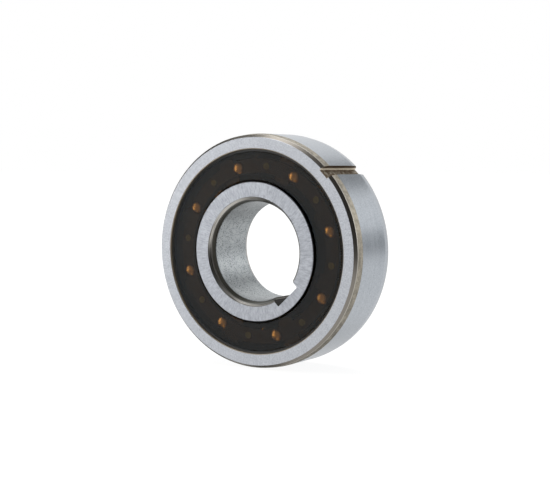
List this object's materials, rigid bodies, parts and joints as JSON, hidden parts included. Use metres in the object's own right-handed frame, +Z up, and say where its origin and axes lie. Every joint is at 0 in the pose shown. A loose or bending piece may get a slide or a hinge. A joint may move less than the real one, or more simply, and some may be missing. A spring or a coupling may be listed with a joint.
{
  "type": "sprag clutch",
  "caption": "Bearing-supported one-way clutch: balls and sprags share one cage between keyed inner and outer rings behind two dark amber seals.",
  "frame": {"origin": "centre of the bore, at mid width on the clutch's axis", "axes": "+Y along the clutch's axis, from the front face to the rear face; +Z up; +X to the right seen from the front"},
  "size_m": [0.04, 0.012, 0.04],
  "materials": {
    "ring_steel": "ground",
    "ball_steel": "polished",
    "sprag_steel": "satin",
    "spring_steel": "satin",
    "seal_plastic": "semi-gloss",
    "cage_plastic": "moulded"
  },
  "bodies": {
    "inner": {"inner_ring": "ring_steel"},
    "outer": {"outer_ring": "ring_steel", "front_seal": "seal_plastic", "rear_seal": "seal_plastic"},
    "cage": {"cage_front": "cage_plastic", "cage_rear": "cage_plastic", "garter_spring_front": "spring_steel", "garter_spring_rear": "spring_steel", "rivet_1": "ball_steel", "rivet_2": "ball_steel", "rivet_3": "ball_steel", "rivet_4": "ball_steel", "rivet_5": "ball_steel", "rivet_6": "ball_steel", "rivet_7": "ball_steel", "rivet_8": "ball_steel"},
    "ball_1": {"ball_1": "ball_steel"},
    "sprag_1": {"sprag_1": "sprag_steel"},
    "ball_2": {"ball_2": "ball_steel"},
    "sprag_2": {"sprag_2": "sprag_steel"},
    "ball_3": {"ball_3": "ball_steel"},
    "sprag_3": {"sprag_3": "sprag_steel"},
    "ball_4": {"ball_4": "ball_steel"},
    "sprag_4": {"sprag_4": "sprag_steel"},
    "ball_5": {"ball_5": "ball_steel"},
    "sprag_5": {"sprag_5": "sprag_steel"},
    "ball_6": {"ball_6": "ball_steel"},
    "sprag_6": {"sprag_6": "sprag_steel"},
    "ball_7": {"ball_7": "ball_steel"},
    "sprag_7": {"sprag_7": "sprag_steel"},
    "ball_8": {"ball_8": "ball_steel"},
    "sprag_8": {"sprag_8": "sprag_steel"}
  },
  "joints": [
    {"name": "outer_spin", "type": "hinge", "parent": "inner", "child": "outer", "pos_m": [0, 0, 0], "axis": [0, -1, 0], "continuous": true},
    {"name": "cage_spin", "type": "hinge", "parent": "inner", "child": "cage", "pos_m": [0, 0, 0], "axis": [0, -1, 0], "continuous": true},
    {"name": "ball_1_spin", "type": "hinge", "parent": "cage", "child": "ball_1", "pos_m": [0.01455, 0, 0.0002], "axis": [0, -1, 0], "continuous": true},
    {"name": "sprag_1_tilt", "type": "hinge", "parent": "cage", "child": "sprag_1", "pos_m": [0.01324, 0, 0.00602], "axis": [0, -1, 0], "range_deg": [0, 4], "stiffness_Nm_per_rad": 0.0002},
    {"name": "ball_2_spin", "type": "hinge", "parent": "cage", "child": "ball_2", "pos_m": [0.01014, 0, 0.01043], "axis": [0, -1, 0], "continuous": true},
    {"name": "sprag_2_tilt", "type": "hinge", "parent": "cage", "child": "sprag_2", "pos_m": [0.00511, 0, 0.01362], "axis": [0, -1, 0], "range_deg": [0, 4]},
    {"name": "ball_3_spin", "type": "hinge", "parent": "cage", "child": "ball_3", "pos_m": [-0.0002, 0, 0.01455], "axis": [0, -1, 0], "continuous": true},
    {"name": "sprag_3_tilt", "type": "hinge", "parent": "cage", "child": "sprag_3", "pos_m": [-0.00602, 0, 0.01324], "axis": [0, -1, 0], "range_deg": [0, 4]},
    {"name": "ball_4_spin", "type": "hinge", "parent": "cage", "child": "ball_4", "pos_m": [-0.01043, 0, 0.01014], "axis": [0, -1, 0], "continuous": true},
    {"name": "sprag_4_tilt", "type": "hinge", "parent": "cage", "child": "sprag_4", "pos_m": [-0.01362, 0, 0.00511], "axis": [0, -1, 0], "range_deg": [0, 4]},
    {"name": "ball_5_spin", "type": "hinge", "parent": "cage", "child": "ball_5", "pos_m": [-0.01455, 0, -0.0002], "axis": [0, -1, 0], "continuous": true},
    {"name": "sprag_5_tilt", "type": "hinge", "parent": "cage", "child": "sprag_5", "pos_m": [-0.01324, 0, -0.00602], "axis": [0, -1, 0], "range_deg": [0, 4]},
    {"name": "ball_6_spin", "type": "hinge", "parent": "cage", "child": "ball_6", "pos_m": [-0.01014, 0, -0.01043], "axis": [0, -1, 0], "continuous": true},
    {"name": "sprag_6_tilt", "type": "hinge", "parent": "cage", "child": "sprag_6", "pos_m": [-0.00511, 0, -0.01362], "axis": [0, -1, 0], "range_deg": [0, 4]},
    {"name": "ball_7_spin", "type": "hinge", "parent": "cage", "child": "ball_7", "pos_m": [0.0002, 0, -0.01455], "axis": [0, -1, 0], "continuous": true},
    {"name": "sprag_7_tilt", "type": "hinge", "parent": "cage", "child": "sprag_7", "pos_m": [0.00602, 0, -0.01324], "axis": [0, -1, 0], "range_deg": [0, 4]},
    {"name": "ball_8_spin", "type": "hinge", "parent": "cage", "child": "ball_8", "pos_m": [0.01043, 0, -0.01014], "axis": [0, -1, 0], "continuous": true},
    {"name": "sprag_8_tilt", "type": "hinge", "parent": "cage", "child": "sprag_8", "pos_m": [0.01362, 0, -0.00511], "axis": [0, -1, 0], "range_deg": [0, 4]}
  ],
  "couplings": [
    {"joint": "cage_spin", "follows": "outer_spin", "ratio": 0.59546},
    {"joint": "ball_1_spin", "follows": "outer_spin", "ratio": 2.5233},
    {"joint": "ball_2_spin", "follows": "outer_spin", "ratio": 2.5233},
    {"joint": "sprag_2_tilt", "follows": "sprag_1_tilt", "ratio": 1},
    {"joint": "ball_3_spin", "follows": "outer_spin", "ratio": 2.5233},
    {"joint": "sprag_3_tilt", "follows": "sprag_1_tilt", "ratio": 1},
    {"joint": "ball_4_spin", "follows": "outer_spin", "ratio": 2.5233},
    {"joint": "sprag_4_tilt", "follows": "sprag_1_tilt", "ratio": 1},
    {"joint": "ball_5_spin", "follows": "outer_spin", "ratio": 2.5233},
    {"joint": "sprag_5_tilt", "follows": "sprag_1_tilt", "ratio": 1},
    {"joint": "ball_6_spin", "follows": "outer_spin", "ratio": 2.5233},
    {"joint": "sprag_6_tilt", "follows": "sprag_1_tilt", "ratio": 1},
    {"joint": "ball_7_spin", "follows": "outer_spin", "ratio": 2.5233},
    {"joint": "sprag_7_tilt", "follows": "sprag_1_tilt", "ratio": 1},
    {"joint": "ball_8_spin", "follows": "outer_spin", "ratio": 2.5233},
    {"joint": "sprag_8_tilt", "follows": "sprag_1_tilt", "ratio": 1}
  ]
}
